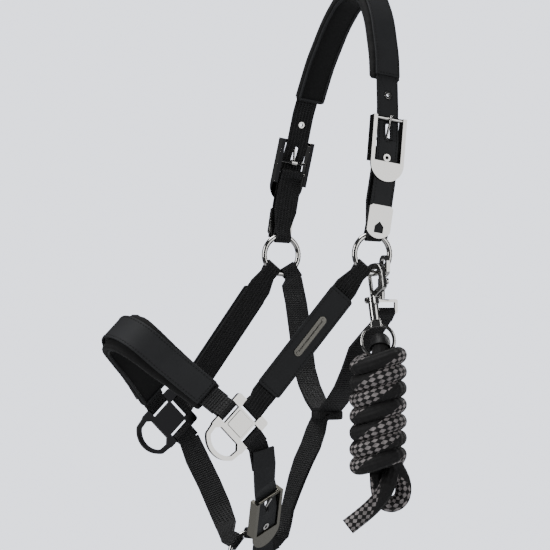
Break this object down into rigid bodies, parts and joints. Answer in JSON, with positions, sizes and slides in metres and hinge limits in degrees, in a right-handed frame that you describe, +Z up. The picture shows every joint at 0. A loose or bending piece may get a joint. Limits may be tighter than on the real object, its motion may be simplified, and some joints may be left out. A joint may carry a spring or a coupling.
{
  "type": "padded headcollar",
  "caption": "Padded horse headcollar of webbing with leather-look covers, buckled crown and chin straps, square cheek fittings and a throat snap, and a wound lead rope clipped to a cheek ring",
  "frame": {"origin": "the poll rest: the middle of the underside of the crown pad, where the headcollar hangs on the head", "axes": "+X to the horse's left (near) side, +Y from the nose to the poll, +Z up"},
  "size_m": [0.2543, 0.3005, 0.5957],
  "materials": {
    "webbing": "woven, matt",
    "lining": "soft, matt",
    "leather": "smooth, satin",
    "nickel": "polished",
    "spring_steel": "bright wire",
    "rope": "braided",
    "rubber": "matt"
  },
  "bodies": {
    "crown": {"crown_webbing": "webbing", "crown_pad": "lining", "crown_cover": "leather", "crown_eyelets": "nickel", "near_buckle_frame": "nickel", "far_buckle_frame": "nickel", "near_ring_strap": "webbing", "far_ring_strap": "webbing", "near_strap_tip": "nickel", "far_strap_tip": "nickel"},
    "near_tongue": {"near_buckle_tongue": "nickel"},
    "far_tongue": {"far_buckle_tongue": "nickel"},
    "chin_tongue": {"chin_buckle_tongue": "nickel"},
    "near_ring": {"near_cheek_ring": "nickel"},
    "far_ring": {"far_cheek_ring": "nickel"},
    "face": {"near_cheek_webbing": "webbing", "far_cheek_webbing": "webbing", "near_cheek_cover": "leather", "far_cheek_cover": "leather", "name_plate": "nickel", "name_plate_rivets": "nickel", "near_square_fitting": "nickel", "far_square_fitting": "nickel", "noseband_webbing": "webbing", "noseband_pad": "lining", "noseband_cover": "leather", "far_chin_strap": "webbing", "near_chin_loop": "webbing", "chin_billet": "leather", "chin_eyelet": "nickel", "chin_buckle_frame": "nickel", "chin_buckle_strap": "webbing", "throat_strap": "webbing", "throat_centre_strap": "webbing", "throat_snap_body": "nickel", "throat_snap_eye": "nickel", "throat_snap_spring": "spring_steel"},
    "chin_loose_ring": {"chin_ring": "nickel"},
    "throat_bolt": {"throat_snap_bolt": "nickel"},
    "lead_snap": {"lead_snap_body": "nickel", "lead_snap_spring": "spring_steel"},
    "lead_bolt": {"lead_snap_bolt": "nickel"},
    "lead_swivel": {"lead_swivel_eye": "nickel"},
    "lead_rope": {"lead_rope_eye": "rope", "lead_rope_sleeve": "rubber", "lead_rope_hank": "rope", "lead_rope_loop": "rope", "lead_rope_tail": "rope"}
  },
  "joints": [
    {"name": "face_swing", "type": "hinge", "parent": "crown", "child": "face", "pos_m": [0, -0.03932, -0.258], "axis": [1, 0, 0], "range_deg": [-25, 30]},
    {"name": "near_cheek_ring_turn", "type": "hinge", "parent": "crown", "child": "near_ring", "pos_m": [0.102, -0.03932, -0.258], "axis": [1, 0, 0], "continuous": true},
    {"name": "far_cheek_ring_turn", "type": "hinge", "parent": "crown", "child": "far_ring", "pos_m": [-0.102, -0.03932, -0.258], "axis": [1, 0, 0], "continuous": true},
    {"name": "near_buckle_tongue_lift", "type": "hinge", "parent": "crown", "child": "near_tongue", "pos_m": [0.10024, -0.02329, -0.14544], "axis": [0, 0.9874, -0.1582], "range_deg": [0, 4]},
    {"name": "far_buckle_tongue_lift", "type": "hinge", "parent": "crown", "child": "far_tongue", "pos_m": [-0.10024, -0.02605, -0.16262], "axis": [0, -0.9874, 0.1582], "range_deg": [0, 4]},
    {"name": "chin_buckle_tongue_lift", "type": "hinge", "parent": "face", "child": "chin_tongue", "pos_m": [0.04402, -0.13068, -0.512], "axis": [-0.2207, 0.8777, 0.4254], "range_deg": [0, 4]},
    {"name": "chin_ring_turn", "type": "hinge", "parent": "face", "child": "chin_loose_ring", "pos_m": [0, -0.12462, -0.5578], "axis": [1, 0, 0], "continuous": true},
    {"name": "throat_bolt_slide", "type": "slide", "parent": "face", "child": "throat_bolt", "axis": [0, 0, -1], "range_m": [0, 0.007], "stiffness_N_per_m": 300, "springref_m": -0.006, "deforming": ["throat_snap_spring"]},
    {"name": "lead_snap_swing", "type": "hinge", "parent": "face", "child": "lead_snap", "pos_m": [0.102, -0.03612, -0.27713], "axis": [0, -0.9863, -0.1649], "range_deg": [0, 60]},
    {"name": "lead_bolt_slide", "type": "slide", "parent": "lead_snap", "child": "lead_bolt", "axis": [0.1632, 0.0594, -0.9848], "range_m": [0, 0.007], "stiffness_N_per_m": 400, "springref_m": -0.006, "deforming": ["lead_snap_spring"]},
    {"name": "lead_swivel_turn", "type": "hinge", "parent": "lead_snap", "child": "lead_swivel", "pos_m": [0.10257, -0.03592, -0.32374], "axis": [-0.1632, -0.0594, 0.9848], "continuous": true},
    {"name": "lead_rope_swing", "type": "hinge", "parent": "lead_swivel", "child": "lead_rope", "pos_m": [0.10844, -0.03378, -0.35919], "axis": [-0.4384, -0.8988, 0], "range_deg": [0, 45]}
  ]
}
